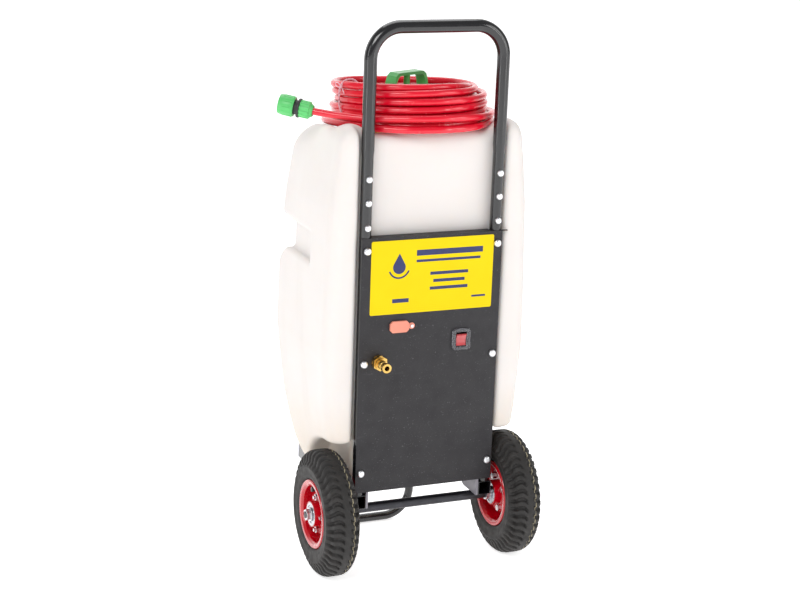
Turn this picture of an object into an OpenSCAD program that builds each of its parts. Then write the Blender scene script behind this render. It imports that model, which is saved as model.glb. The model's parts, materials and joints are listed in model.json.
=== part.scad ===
// Two-wheeled water trolley: a hand-truck frame that carries a moulded tank, a battery and a
// diaphragm pump behind a cover panel, with a coil of delivery hose lying on the tank.
// The floor is z = 0, the operator stands at -Y and +X is the operator's right.
// The frame, the tank and all that is fixed to them lean back together about the axle.

/* [Wheels] */
// Outer diameter of a tyre
tyre_d = 220; // [200:1:240]
// Width of a tyre
tyre_w = 60; // [52:1:66]
// Distance between the two wheels' middle planes
track = 340; // [336:1:350]
// Diameter of the rim's rolled lip
rim_d = 120; // [114:1:124]
// Diameter of the axle
axle_d = 17; // [15:0.5:17]

/* [Frame] */
// Lean of the frame towards the operator, in degrees
lean = 5.2; // [4:0.1:6.5]
// Outside of the square tube
rail_w = 25; // [22:1:28]
// Distance between the middles of the two rails
rail_gap = 238; // [236:1:242]
// Length of a rail
rail_len = 276; // [270:1:280]
// Outer diameter of the uprights
upright_d = 20; // [19:0.5:21]
// Outer diameter of the handle tube
handle_d = 22; // [21:0.5:24]
// Height of the handle's top above the axle, along the frame
handle_top = 847; // [820:1:880]
// Bend radius of the handle, at the middle of the tube
handle_bend = 52; // [45:1:60]
// Outer diameter of the foot tube
foot_d = 16; // [14:1:18]
// Outer width of the foot
foot_w = 192; // [160:1:200]

/* [Cover panel] */
// Width of the cover panel
panel_w = 256; // [252:1:258]
// Height of the cover panel
panel_h = 449; // [440:1:455]
// Thickness of the sheet
sheet = 1.2; // [1:0.1:1.5]

/* [Tank] */
// Half of the tank's width at its widest
tank_half_w = 184; // [180:1:186]
// Wall of the tank
tank_wall = 4; // [3:0.5:5]
// Outer diameter of the filler lid
lid_d = 110; // [100:1:120]

/* [Hose] */
// Outer diameter of the delivery hose
hose_d = 12; // [10:0.5:13]

/* [Hidden] */
$fn = 48;
gap = 0.3;          // air between bodies that move past each other
skin = 0.2;         // air under a small part that swings close over a face

// Heights and depths along the leaning frame, measured from the axle.
axle_z = tyre_d / 2;
rail_low = axle_d / 2;
rail_top = rail_low + rail_w;
rail_back = -26;
rail_front = rail_back + rail_len;
rail_x = rail_gap / 2;
tube_wall = 2;
upright_v = -16;
upright_top = 624;
panel_v = upright_v - upright_d / 2 - sheet;      // the panel's outer face
panel_low = rail_top + 6;
panel_top = panel_low + panel_h;
foot_v = rail_front - rail_w / 2;
foot_low = (foot_d / 2 - axle_z - foot_v * sin(lean)) / cos(lean);
foot_y = foot_v * cos(lean) - foot_low * sin(lean);
// Moves the axle so that the middle of the standing cart is at y = 0.
axle_y = (tyre_d / 2 - foot_y - foot_d / 2) / 2;

hub_half = 28;                                    // half of the hub, over both bearings
bearing_d = 40;
bearing_w = 12;
bearing_clear = 0.05;
disc_a = 14;                                      // rim disc's face, out from the wheel's middle
bolt_circle_r = 29;
thread_d = 12;                                    // threaded end of the axle
thread_len = 10;
washer_t = 2;
axle_half = track / 2 + hub_half + thread_len + 0.5;
valve_r = 44;                                     // how far the valve is from the axle
stem_len = 14;

// Places on the panel, as x and height along the frame.
outlet_at = [-93, panel_top - 215];
nipple_len = 24;
outlet_thread_r = 6.9;
cap_pivot = [-34.6, panel_top - 155.5];
socket_at = [-57, cap_pivot.y];
switch_at = [58.8, panel_top - 187];
bolt_rows = [21.4, 217.4, 413.4];                 // below the panel's top
handle_bolt_rows = [36, 76, 118];                 // below the uprights' top
rocker_tilt = 8;

// Tank, along the frame.
tank_low = rail_top + 0.5;
tank_back = upright_v + handle_d / 2;
column_back = -20;
tank_front = 264;
tank_top = 680;
arch_r = tyre_d / 2 + 18;
arch_x = 128;
bay_half = 108;                                   // bay for the pump and battery
bay_deep = 75;
bay_top = panel_top - 8;
saddle_r = 245;                                   // dish round the lid, in the tank's top
saddle_low = 614;
saddle_back = 42;
rim_low = 655;                                    // rim that the hose lies on, behind the dish
rim_flat = 110;
rim_slope = 60;
lid_v = 112;
lid_low = 630;
lid_top = 690;
neck_r = lid_d / 2 - 9;
neck_wall = 5;
neck_h = 36;
seal_t = 3;
lid_turn = 24;                                    // how far round the lid is screwed on

// Pump, battery and pipes in the bay, along the frame.
pump = [60, 60, 62];                              // it ends at x = 0, where the motor begins
pump_low = 190;
pump_port = 4;                                    // how far the pump's two ports stand out
port_v = 24;
inlet_x = -30;
outlet_port_z = 220;
drain_at = [-90, 160];                            // the tank's outlet, as x and height
drain_v = 58;                                     // where the suction hose is pushed on
battery_size = [151, 62, 93];
battery_low = 43;

// Coil of hose: it lies level, so it is placed from the floor.
coil_at = [6, -24, 765];
coil_in = 100;
coil_out = 148;
coil_high = 84;
// Middle of the hose from the coil to the connector, from the floor.
tail_route = [
    [-69, -143, 790], [-86, -133, 790], [-103, -122, 790], [-120, -111, 791],
    [-137, -101, 793], [-153, -91, 795], [-170, -80, 798], [-186, -70, 801],
];
connector_at = [-186, -70, 801];
connector_yaw = 147;
connector_rise = 12;

// A point of an arc, for outlines that are written as lists of points.
function arc(centre, r, from, to, steps = 8) =
    [for (i = [0:steps]) centre + r * [cos(from + (to - from) * i / steps),
                                       sin(from + (to - from) * i / steps)]];

// ---------------------------------------------------------------- frames and shared shapes

// The leaning frame: x across, y from the axle forwards, z up along the uprights.
module leaning() {
    translate([0, axle_y, axle_z])
        rotate([lean, 0, 0])
            children();
}

// A wheel's frame: z runs outwards along the axle. The left wheel stands with its valve up.
module wheel_frame(side) {
    turn = side < 0 ? 180 : -22;
    translate([side * track / 2, axle_y, axle_z])
        rotate([0, side * 90, 0])
            rotate([0, 0, turn])
                children();
}

module on_both_sides() {
    children();
    mirror([1, 0, 0])
        children();
}

// A tube or rod along y, from y0 to y1.
module rod_y(r, y0, y1, bore = 0) {
    translate([0, y1, 0])
        rotate([90, 0, 0])
            difference() {
                cylinder(r = r, h = y1 - y0);
                if (bore > 0)
                    translate([0, 0, -1])
                        cylinder(r = bore, h = y1 - y0 + 2);
            }
}

module rod_x(r, x0, x1) {
    translate([x0, 0, 0])
        rotate([0, 90, 0])
            cylinder(r = r, h = x1 - x0);
}

// A quarter bend of a tube in the xy plane, from the x axis to the y axis.
module quarter_bend(r, bend, bore = 0) {
    rotate_extrude(angle = 90)
        translate([bend, 0])
            difference() {
                circle(r = r);
                if (bore > 0)
                    circle(r = bore);
            }
}

// A square tube along y.
module square_tube(length) {
    difference() {
        translate([-rail_w / 2, 0, 0])
            cube([rail_w, length, rail_w]);
        translate([-rail_w / 2 + tube_wall, -1, tube_wall])
            cube([rail_w - 2 * tube_wall, length + 2, rail_w - 2 * tube_wall]);
    }
}

// A U of round tube in the xz plane, open at the top: two legs, two bends and a bar.
module tube_u(r, bore, half, bend, leg) {
    on_both_sides() {
        translate([half, 0, bend])
            difference() {
                cylinder(r = r, h = leg - bend);
                translate([0, 0, -1])
                    cylinder(r = bore, h = leg - bend + 2);
            }
        translate([half - bend, 0, bend])
            rotate([90, 0, 0])
                rotate([0, 0, -90])
                    quarter_bend(r, bend, bore);
    }
    rotate([0, 0, 90])
        rod_y(r, bend - half, half - bend, bore);
}

// A flat slab in the xz plane with cut corners, its back at y = 0 and its face at y = -t.
module slab(w, h, t, corner) {
    rotate([90, 0, 0])
        linear_extrude(height = t)
            polygon([
                [-w / 2 + corner, -h / 2], [w / 2 - corner, -h / 2],
                [w / 2, -h / 2 + corner], [w / 2, h / 2 - corner],
                [w / 2 - corner, h / 2], [-w / 2 + corner, h / 2],
                [-w / 2, h / 2 - corner], [-w / 2, -h / 2 + corner],
            ]);
}

// ---------------------------------------------------------------- frame

module upright(side) {
    color("#26262B")
        leaning()
            translate([side * rail_x, upright_v, rail_top])
                difference() {
                    cylinder(d = upright_d, h = upright_top - rail_top);
                    translate([0, 0, -1])
                        cylinder(d = upright_d - 2 * tube_wall, h = upright_top - rail_top + 2);
                    for (row = handle_bolt_rows)
                        translate([0, 0, upright_top - rail_top - row])
                            rod_y(3, -upright_d, 0);
                    for (row = bolt_rows)
                        translate([0, 0, panel_top - rail_top - row])
                            rod_y(3, -upright_d, 0);
                }
}

module rail(side) {
    color("#26262B")
        leaning()
            translate([side * rail_x, rail_back, rail_low])
                square_tube(rail_len);
}

module front_crossbar() {
    color("#26262B")
        leaning()
            translate([-rail_x + rail_w / 2, rail_front - rail_w / 2, rail_low])
                rotate([0, 0, -90])
                    square_tube(rail_gap - rail_w);
}

module axle_brackets() {
    plate = 4;
    front = 38;
    high = 40;
    corner = 12;
    color("#8B8890")
        leaning()
            on_both_sides()
                translate([rail_x - rail_w / 2 - plate, 0, 0])
                    rotate([90, 0, 90])
                        linear_extrude(height = plate)
                            polygon(concat(
                                [[rail_back + 1, rail_low]],
                                arc([front - corner, rail_low + corner], corner, -90, 0),
                                [[front, high], [rail_back + 1, high]]));
}

module axle() {
    color("#3A3A3E")
        translate([0, axle_y, axle_z]) {
            rod_x(axle_d / 2, thread_len - axle_half, axle_half - thread_len);
            rod_x(thread_d / 2, -axle_half, axle_half);
        }
}

module axle_spacers() {
    x0 = rail_x + rail_w / 2 + gap;
    x1 = track / 2 - hub_half - gap;
    color("#B9BABF")
        translate([0, axle_y, axle_z])
            on_both_sides()
                translate([x0, 0, 0])
                    rotate([0, 90, 0])
                        difference() {
                            cylinder(d = 23, h = x1 - x0);
                            translate([0, 0, -1])
                                cylinder(d = axle_d, h = x1 - x0 + 2);
                        }
}

module axle_washers() {
    color("#C9CACF")
        translate([0, axle_y, axle_z])
            on_both_sides()
                translate([axle_half - thread_len, 0, 0])
                    rotate([0, 90, 0])
                        difference() {
                            cylinder(d = 24, h = washer_t);
                            translate([0, 0, -1])
                                cylinder(d = thread_d, h = washer_t + 2);
                        }
}

module axle_nuts() {
    across_corners = 20.8;
    thick = 7;
    color("#D5D6DA")
        translate([0, axle_y, axle_z])
            on_both_sides()
                translate([axle_half - thread_len + washer_t, 0, 0])
                    rotate([0, 90, 0])
                        difference() {
                            cylinder(d = across_corners, h = thick, $fn = 6);
                            translate([0, 0, -1])
                                cylinder(d = thread_d, h = thick + 2);
                        }
}

module front_foot() {
    color("#26262B")
        leaning()
            translate([0, foot_v, foot_low])
                tube_u(foot_d / 2, foot_d / 2 - 1.5, foot_w / 2 - foot_d / 2, 50,
                       rail_low - foot_low);
}

module rail_end_caps() {
    lip = 3;
    plug = 12;
    inner = rail_w - 2 * tube_wall;
    color("#A9A7B4")
        leaning()
            on_both_sides()
                translate([rail_x, rail_front, rail_low + rail_w / 2]) {
                    translate([-rail_w / 2, 0, -rail_w / 2])
                        cube([rail_w, lip, rail_w]);
                    translate([-inner / 2, -plug, -inner / 2])
                        cube([inner, plug, inner]);
                }
}

// ---------------------------------------------------------------- handle

module handle_tube() {
    spigot_d = upright_d - 2 * tube_wall - 0.2;
    spigot_len = 134;
    shoulder = 12;
    bore = handle_d / 2 - 3.2;
    leg = handle_top - handle_d / 2 - upright_top;
    color("#26262B")
        leaning()
            difference() {
                union() {
                    translate([0, upright_v, handle_top - handle_d / 2])
                        rotate([180, 0, 0])
                            tube_u(handle_d / 2, bore, rail_x, handle_bend, leg - shoulder);
                    on_both_sides()
                        translate([rail_x, upright_v, upright_top])
                            difference() {
                                union() {
                                    cylinder(d1 = upright_d, d2 = handle_d, h = shoulder);
                                    translate([0, 0, -spigot_len])
                                        cylinder(d = spigot_d, h = spigot_len);
                                }
                                translate([0, 0, -spigot_len - 1])
                                    cylinder(r = bore - 2, h = spigot_len + shoulder + 2);
                            }
                }
                for (side = [-1, 1], row = handle_bolt_rows)
                    translate([side * rail_x, upright_v, upright_top - row])
                        rod_y(3, -handle_d, 0);
            }
}

// One screw that enters the back of an upright: pan head outside, shank towards +y.
module pan_screw(head_d, head_h, shank_d, shank) {
    rotate([90, 0, 0])
        rotate_extrude()
            polygon(concat(
                [[0, -shank], [shank_d / 2, -shank], [shank_d / 2, 0], [head_d / 2, 0]],
                arc([head_d / 2 - head_h * 0.6, head_h * 0.4], head_h * 0.6, 0, 90),
                [[0, head_h]]));
}

module handle_bolts() {
    color("#C6C8CE")
        leaning()
            for (side = [-1, 1], row = handle_bolt_rows)
                translate([side * rail_x, upright_v - upright_d / 2, upright_top - row])
                    pan_screw(11.4, 4, 5, 11);
}

module handle_weld_nuts() {
    color("#9A9CA2")
        leaning()
            for (side = [-1, 1], row = handle_bolt_rows)
                translate([side * rail_x, 0, upright_top - row])
                    rod_y(4.2, upright_v - 3.8, upright_v + 1, 2.5);
}

// ---------------------------------------------------------------- cover panel and what it carries

module cover_panel() {
    flange = 19;
    notch_r = upright_d / 2 + 0.5;
    ear = 11;
    hole_deep = 5;
    color("#37353A")
        leaning()
            difference() {
                union() {
                    translate([-panel_w / 2, panel_v, panel_low])
                        cube([panel_w, sheet, panel_h]);
                    translate([0, 0, panel_top - sheet])
                        linear_extrude(height = sheet)
                            polygon([
                                [-panel_w / 2, panel_v], [panel_w / 2, panel_v],
                                [panel_w / 2 + ear, panel_v + 2],
                                [panel_w / 2 + ear, panel_v + 6],
                                [panel_w / 2 + 4, panel_v + 7],
                                [rail_x - notch_r, panel_v + 7],
                                [rail_x - notch_r, panel_v + flange],
                                [notch_r - rail_x, panel_v + flange],
                                [notch_r - rail_x, panel_v + 7],
                                [-panel_w / 2, panel_v + 7],
                            ]);
                }
                on_both_sides()
                    translate([rail_x, upright_v, panel_top - 10])
                        cylinder(r = notch_r, h = 20);
                for (side = [-1, 1], row = bolt_rows)
                    translate([side * rail_x, 0, panel_top - row])
                        rod_y(3.4, panel_v - hole_deep, panel_v + hole_deep);
                translate([outlet_at.x, 0, outlet_at.y])
                    rod_y(7, panel_v - hole_deep, panel_v + hole_deep);
                translate([socket_at.x, 0, socket_at.y])
                    rod_y(7, panel_v - hole_deep, panel_v + hole_deep);
                translate([cap_pivot.x, 0, cap_pivot.y])
                    rod_y(1.6, panel_v - hole_deep, panel_v + hole_deep);
                translate([switch_at.x - 11.5, panel_v - hole_deep, switch_at.y - 13.5])
                    cube([23, 2 * hole_deep, 27]);
            }
}

module panel_bolts() {
    color("#CFD1D6")
        leaning()
            for (side = [-1, 1], row = bolt_rows)
                translate([side * rail_x, panel_v, panel_top - row])
                    pan_screw(13, 5, 6, 8);
}

module label_plate() {
    plate = 0.6;
    color("#F4DA00")
        leaning()
            translate([0.4, panel_v, panel_top - 69.3])
                slab(224, 127.5, plate, 2);
}

module charge_socket() {
    color("#1E1E20")
        leaning()
            translate([socket_at.x, 0, socket_at.y]) {
                rod_y(7, panel_v, panel_v + sheet, 3);
                rod_y(11, panel_v + sheet, panel_v + 20, 3);
            }
}

module charge_cap() {
    ear_r = 5.5;
    thick = 4;
    body_x = socket_at.x - 0.3;
    color("#E8917B")
        leaning()
            translate([0, panel_v - skin, cap_pivot.y])
                difference() {
                    union() {
                        translate([body_x, 0, 0])
                            slab(34.5, 20, thick, 4.5);
                        translate([cap_pivot.x, 0, 0])
                            rod_y(ear_r, -2, 0);
                        translate([(cap_pivot.x + body_x + 17) / 2, 0, 0])
                            slab(9, 7, 2, 0.5);
                    }
                    translate([cap_pivot.x, 0, 0])
                        rod_y(1.65, -5, 1);
                }
}

module cap_screw() {
    shank_r = 1.6;
    face = panel_v - skin - 2 - skin;
    color("#C6C8CE")
        leaning()
            translate([cap_pivot.x, 0, cap_pivot.y]) {
                rod_y(shank_r, face, panel_v + 8);
                rod_y(2.7, face - 2, face);
            }
}

module switch_body() {
    color("#1B1B1D")
        leaning()
            translate([switch_at.x, 0, switch_at.y])
                difference() {
                    union() {
                        translate([-11.4, panel_v, -13.4])
                            cube([22.8, 20, 26.8]);
                        translate([-13, panel_v + sheet, -15])
                            cube([26, 18, 30]);
                    }
                    translate([-9.6, panel_v - 1, -11.8])
                        cube([19.2, 12, 23.6]);
                }
}

// The rocker is drawn level, then tipped so that its lower half is pressed in.
module switch_rocker() {
    half_w = 8.8;
    half_h = 10.4;
    pivot_r = 1.5;
    pivot_half = 9.4;
    color("#D2201F")
        leaning()
            translate([switch_at.x, panel_v + 3, switch_at.y])
                rotate([rocker_tilt, 0, 0]) {
                    translate([-half_w, 0, 0])
                        rotate([90, 0, 90])
                            linear_extrude(height = 2 * half_w)
                                polygon(concat(
                                    arc([-24.5, 0], 20.5, -30, 30, 8),
                                    [[-4, half_h], [3, 4], [3, -4], [-4, -half_h]]));
                    rod_x(pivot_r, -pivot_half, pivot_half);
                }
}

// A clear frame round the switch.
module switch_hood() {
    w = 33;
    h = 37;
    t = 4;
    open_w = 22;
    open_h = 27;
    color("#B4B4BA")
        leaning()
            translate([switch_at.x, panel_v, switch_at.y])
                difference() {
                    slab(w, h, t, 3);
                    translate([-open_w / 2, -t - 1, -open_h / 2])
                        cube([open_w, t + 2, open_h]);
                }
}

// A brass nipple through the panel: washer, hexagon, collar and nipple outside, thread inside.
module outlet_fitting() {
    seat = panel_v - 2;
    hex_d = 27;
    hex_h = 9;
    collar = 5;
    nipple_r = 8;
    nipple_from = seat - hex_h - collar;
    groove_r = 2;
    color("#C9A35A")
        leaning()
            translate([outlet_at.x, 0, outlet_at.y])
                difference() {
                    union() {
                        rod_y(12, seat, panel_v);
                        translate([0, seat, 0])
                            rotate([90, 30, 0])
                                cylinder(d = hex_d, h = hex_h, $fn = 6);
                        rod_y(10.5, nipple_from, seat - hex_h);
                        rod_y(nipple_r, nipple_from - nipple_len, nipple_from);
                        rod_y(outlet_thread_r, panel_v, panel_v + 12);
                        rod_y(5.5, panel_v + 12, -2);
                    }
                    rod_y(4.35, nipple_from - nipple_len - 1, seat - 4);
                    rod_y(3, seat - 5, 10);
                    translate([0, nipple_from - nipple_len / 2, 0])
                        rotate([90, 0, 0])
                            rotate_extrude()
                                translate([nipple_r + 0.4, 0])
                                    circle(r = groove_r);
                }
}

module outlet_locknut() {
    thick = 6;
    color("#C9A35A")
        leaning()
            translate([outlet_at.x, panel_v + sheet + thick, outlet_at.y])
                rotate([90, 30, 0])
                    difference() {
                        cylinder(d = 25, h = thick, $fn = 6);
                        translate([0, 0, -1])
                            cylinder(r = outlet_thread_r, h = thick + 2);
                    }
}

// ---------------------------------------------------------------- tank

// The tank seen from the side: front and back face, over its height.
function tank_side(inset) = concat(
    [[column_back + inset, tank_low + inset]],
    arc([150, 84], 50 - inset, -90, -20),
    [[212 - inset, 114], [228 - inset, 154], [246 - inset, 217]],
    arc([tank_front - 30, 284], 30 - inset, 0, 0, 1),
    [[tank_front - inset, 400], [256 - inset, 474], [243 - inset, 541]],
    arc([185, 590], 50 - inset, 0, 60),
    [[186, 645 - inset], [132, 663 - inset], [84, 675 - inset], [60, tank_top - inset]],
    arc([column_back + 30, tank_top - 30], 30 - inset, 90, 180));

// The tank seen from behind: half of its width, over its height.
function tank_half(inset) = [
    [0, tank_low + inset], [158 - inset, tank_low + inset], [168 - inset, 122],
    [175 - inset, 170], [tank_half_w - inset, 280], [tank_half_w - 1 - inset, 350],
    [175 - inset, 530], [166 - inset, 600], [161 - inset, 640],
    [152 - inset, 668], [140 - inset, tank_top - inset], [0, tank_top - inset],
];

// The tank seen from above: half of its outline at its widest, with round corners.
function tank_plan(inset) = concat(
    [[0, column_back + inset]],
    arc([tank_half_w - 30, column_back + 30], 30 - inset, -90, 0),
    arc([tank_half_w - 45, tank_front - 45], 45 - inset, 0, 90),
    [[0, tank_front - inset]]);

// One closed body of the tank's outline, drawn in by inset all round.
module tank_form(inset) {
    intersection() {
        translate([-tank_half_w - 5, 0, 0])
            rotate([90, 0, 90])
                linear_extrude(height = 2 * tank_half_w + 10)
                    polygon(tank_side(inset));
        on_both_sides()
            translate([0, tank_front + 5, 0])
                rotate([90, 0, 0])
                    linear_extrude(height = tank_front - column_back + 10)
                        polygon(tank_half(inset));
        on_both_sides()
            linear_extrude(height = tank_top + 5)
                polygon(tank_plan(inset));
    }
}

// What the wheels, the uprights, the bay, the saddle and the grips take away, grown by wall.
module tank_hollows(wall) {
    grip_low = 427;
    grip_h = 50;
    recess_half = 132;
    on_both_sides() {
        translate([arch_x - wall, 0, 0])
            rod_x(arch_r + wall, 0, 90);
        translate([tank_half_w - 13 - wall, 78 - wall, grip_low - wall])
            cube([60, 130, grip_h + 2 * wall]);
        translate([tank_half_w - 60 - wall, 190 - wall, grip_low - wall])
            cube([80, 100, grip_h + 2 * wall]);
    }
    translate([-recess_half - wall, column_back - 10, tank_low - 10])
        cube([2 * (recess_half + wall), tank_back - column_back + 10 + wall, 800]);
    translate([-bay_half - wall, column_back - 10, tank_low - 10])
        cube([2 * (bay_half + wall), bay_deep - column_back + 10 + wall,
              bay_top - tank_low + 10 + wall]);
    translate([0, 0, saddle_low + saddle_r])
        rod_y(saddle_r + wall, saddle_back - wall, 320);
    rotate([90, 0, 0])
        translate([0, 0, -saddle_back - 5])
            linear_extrude(height = saddle_back + 5 - column_back + 10)
                polygon([
                    [-rim_flat, rim_low - wall], [rim_flat, rim_low - wall],
                    [rim_flat + rim_slope, tank_top + 10],
                    [-rim_flat - rim_slope, tank_top + 10],
                ]);
}

module tank_shell() {
    color("#F3EEEA")
        leaning() {
            difference() {
                tank_form(0);
                tank_hollows(0);
                difference() {
                    tank_form(tank_wall);
                    tank_hollows(tank_wall);
                }
                translate([0, lid_v, saddle_low - 20])
                    cylinder(r = neck_r - neck_wall, h = 60);
                translate([drain_at.x, 0, drain_at.y])
                    rod_y(8, bay_deep - 5, bay_deep + 10);
            }
            translate([0, lid_v, saddle_low - tank_wall])
                difference() {
                    cylinder(r = neck_r, h = neck_h + tank_wall);
                    translate([0, 0, -1])
                        cylinder(r = neck_r - neck_wall, h = neck_h + tank_wall + 2);
                }
        }
}

module tank_lid() {
    high = lid_top - lid_low;
    edge_r = 5;
    grips = 16;
    seal_top = saddle_low + neck_h + seal_t;
    color("#3E8E47")
        leaning()
            translate([0, lid_v, 0])
                difference() {
                    translate([0, 0, lid_low])
                        rotate_extrude()
                            polygon(concat(
                                [[0, 0], [lid_d / 2, 0]],
                                arc([lid_d / 2 - edge_r, high - edge_r], edge_r, 0, 90),
                                [[0, high]]));
                    translate([0, 0, lid_low - 1])
                        cylinder(r = neck_r + gap, h = seal_top - lid_low + 1);
                    for (i = [0:grips - 1])
                        rotate([0, 0, i * 360 / grips])
                            translate([lid_d / 2 + 2.5, 0, lid_low - 1])
                                cylinder(r = 4.5, h = 46);
                }
}

module lid_seal() {
    color("#2A2A2A")
        leaning()
            translate([0, lid_v, saddle_low + neck_h + 0.1])
                difference() {
                    cylinder(r = neck_r - 0.5, h = seal_t - 0.2);
                    translate([0, 0, -1])
                        cylinder(r = neck_r - neck_wall, h = seal_t + 2);
                }
}

// The lid's grip: a wide strap bent into an arch, with flared feet and a post under its middle.
module lid_handle() {
    deep = 22;
    high = 53;
    strap = 5;
    post_r = 5.5;
    outer = [[-48, 0], [-45, 12], [-41, 38], [-37, 48], [-30, high],
             [30, high], [37, 48], [41, 38], [45, 12], [48, 0]];
    inner = [[42, 0], [39, 12], [35.5, 36], [32, 44], [27, high - strap],
             [-27, high - strap], [-32, 44], [-35.5, 36], [-39, 12], [-42, 0]];
    color("#5CC36A")
        leaning()
            translate([0, lid_v, lid_top])
                rotate([0, 0, lid_turn]) {
                    translate([0, deep / 2, 0])
                        rotate([90, 0, 0])
                            linear_extrude(height = deep)
                                polygon(concat(outer, inner));
                    cylinder(r = post_r, h = high - strap / 2);
                }
}

// A flanged outlet through the wall of the bay, with a nipple for the suction hose.
module tank_outlet() {
    flange_r = 13;
    flange_t = 5;
    color("#1F1F21")
        leaning()
            translate([drain_at.x, 0, drain_at.y])
                difference() {
                    union() {
                        rod_y(flange_r, bay_deep - flange_t - 1, bay_deep);
                        rod_y(7.9, bay_deep, bay_deep + tank_wall);
                        rod_y(flange_r, bay_deep + tank_wall, bay_deep + tank_wall + flange_t);
                        rod_y(7, drain_v, bay_deep - flange_t - 1);
                    }
                    rod_y(5, drain_v - 8, bay_deep + 25);
                }
}

// ---------------------------------------------------------------- pump and battery, in the bay

module pump_head() {
    foot_t = 6;
    foot_edge = 6;
    port_r = 7;
    back = panel_v + sheet;
    color("#222226")
        leaning() {
            translate([-pump.x, back + foot_t, pump_low])
                cube(pump);
            translate([-pump.x - foot_edge, back, pump_low - pump_port])
                cube([pump.x + 2 * foot_edge, foot_t, pump.z + 2 * pump_port]);
            translate([-pump.x - pump_port, port_v, outlet_port_z])
                rod_x(port_r, 0, pump_port);
            translate([inlet_x, port_v, pump_low - pump_port])
                cylinder(r = port_r, h = pump_port);
        }
}

module pump_motor() {
    motor_r = 26;
    motor_len = 84;
    bearing_r = 12;
    color("#5A5B60")
        leaning()
            translate([0, 10, pump_low + pump.z / 2]) {
                rod_x(motor_r, 0, motor_len);
                rod_x(bearing_r, motor_len, motor_len + 6);
            }
}

// From the pump's outlet port to the left, up, and back to the outlet in the panel.
module pressure_hose() {
    r = 7;
    bend = 20;
    color("#D8D8DC")
        leaning() {
            translate([outlet_at.x + bend, port_v, outlet_port_z])
                rod_x(r, 0, -pump.x - pump_port - outlet_at.x - bend);
            translate([outlet_at.x + bend, port_v, outlet_port_z + bend])
                rotate([90, 0, 0])
                    rotate([0, 0, 180])
                        quarter_bend(r, bend);
            translate([outlet_at.x, port_v, outlet_port_z + bend])
                cylinder(r = r, h = outlet_at.y - outlet_port_z - 2 * bend);
            translate([outlet_at.x, port_v - bend, outlet_at.y - bend])
                rotate([0, -90, 0])
                    mirror([0, 0, 1])
                        quarter_bend(r, bend);
            translate([outlet_at.x, 0, outlet_at.y])
                rod_y(r, -2, port_v - bend);
        }
}

// From the pump's inlet port down, to the left, and forwards onto the tank's outlet.
module suction_hose() {
    r = 8;
    bend = 18;
    drop = drain_at.y;
    side = drain_at.x;
    color("#D8D8DC")
        leaning() {
            translate([inlet_x, port_v, drop + bend])
                cylinder(r = r, h = pump_low - pump_port - drop - bend);
            translate([inlet_x - bend, port_v, drop + bend])
                rotate([90, 0, 0])
                    rotate([0, 0, -90])
                        quarter_bend(r, bend);
            translate([side + bend, port_v, drop])
                rod_x(r, 0, inlet_x - side - 2 * bend);
            translate([side + bend, port_v + bend, drop])
                rotate([0, 0, 180])
                    quarter_bend(r, bend);
            translate([side, 0, drop])
                rod_y(r, port_v + bend, drain_v);
        }
}

module battery() {
    terminal = [8, 6, 6];
    color("#2F3136")
        leaning() {
            translate([-battery_size.x / 2, 4, battery_low])
                cube(battery_size);
            for (x = [-60, 60 - terminal.x])
                translate([x, 14, battery_low + battery_size.z])
                    cube(terminal);
        }
}

// A folded tray between the axle brackets: floor, front and side flanges, open at the back.
module battery_tray() {
    half = rail_x - rail_w / 2 - 4;
    floor_t = 3;
    flange_t = 2;
    deep = 74;
    high = 12;
    color("#6B6970")
        leaning()
            difference() {
                translate([-half, -2, battery_low - floor_t])
                    cube([2 * half, deep, high]);
                translate([-half + flange_t, 0, battery_low])
                    cube([2 * (half - flange_t), deep - 2 * flange_t, high]);
                translate([-half - 1, -10, battery_low])
                    cube([2 * half + 2, 14, high]);
            }
}

// From the switch to the right, down, forwards and back to the battery's side.
module wiring_loom() {
    r = 3;
    bend = 12;
    side = 98;
    v = -14;
    battery_v = 20;
    low = 100;
    high = switch_at.y;
    switch_side = switch_at.x + 13;
    battery_side = battery_size.x / 2;
    color("#B02020")
        leaning() {
            translate([switch_side, v, high])
                rod_x(r, 0, side - bend - switch_side);
            translate([side - bend, v, high - bend])
                rotate([90, 0, 0])
                    quarter_bend(r, bend);
            translate([side, v, low + bend])
                cylinder(r = r, h = high - low - 2 * bend);
            translate([side, v + bend, low + bend])
                rotate([0, 90, 0])
                    rotate([0, 0, -90])
                        quarter_bend(r, bend);
            translate([side, 0, low])
                rod_y(r, v + bend, battery_v);
            translate([side - bend, battery_v, low])
                quarter_bend(r, bend);
            translate([battery_side, battery_v + bend, low])
                rod_x(r, 0, side - bend - battery_side);
        }
}

// ---------------------------------------------------------------- delivery hose

// The coil's outline through one side: radius and height.
coil_outline = [
    [coil_in, 2], [118, 2], [coil_out, 22], [coil_out, 40],
    [134, 48], [128, coil_high], [coil_in + 4, coil_high],
];

module hose_coil() {
    color("#E0001F")
        translate(coil_at)
            rotate_extrude()
                polygon(coil_outline);
}

// The frames of a round tube along a list of points.
function along(route, i) =
    let (a = route[max(i - 1, 0)],
         b = route[min(i + 1, len(route) - 1)])
    (b - a) / norm(b - a);

function ring(route, i, r, sides) =
    let (forward = along(route, i),
         across = cross(forward, [0, 0, 1]) / norm(cross(forward, [0, 0, 1])),
         up = cross(across, forward))
    [for (k = [0:sides - 1])
        route[i] + r * (cos(k * 360 / sides) * across + sin(k * 360 / sides) * up)];

module swept_tube(route, r, sides) {
    rings = len(route);
    polyhedron(
        points = [for (i = [0:rings - 1]) each ring(route, i, r, sides)],
        faces = concat(
            [[for (k = [0:sides - 1]) k]],
            [for (i = [0:rings - 2], k = [0:sides - 1])
                let (n = (k + 1) % sides)
                [i * sides + k, (i + 1) * sides + k, (i + 1) * sides + n, i * sides + n]],
            [[for (k = [sides - 1:-1:0]) (rings - 1) * sides + k]]));
}

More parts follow.
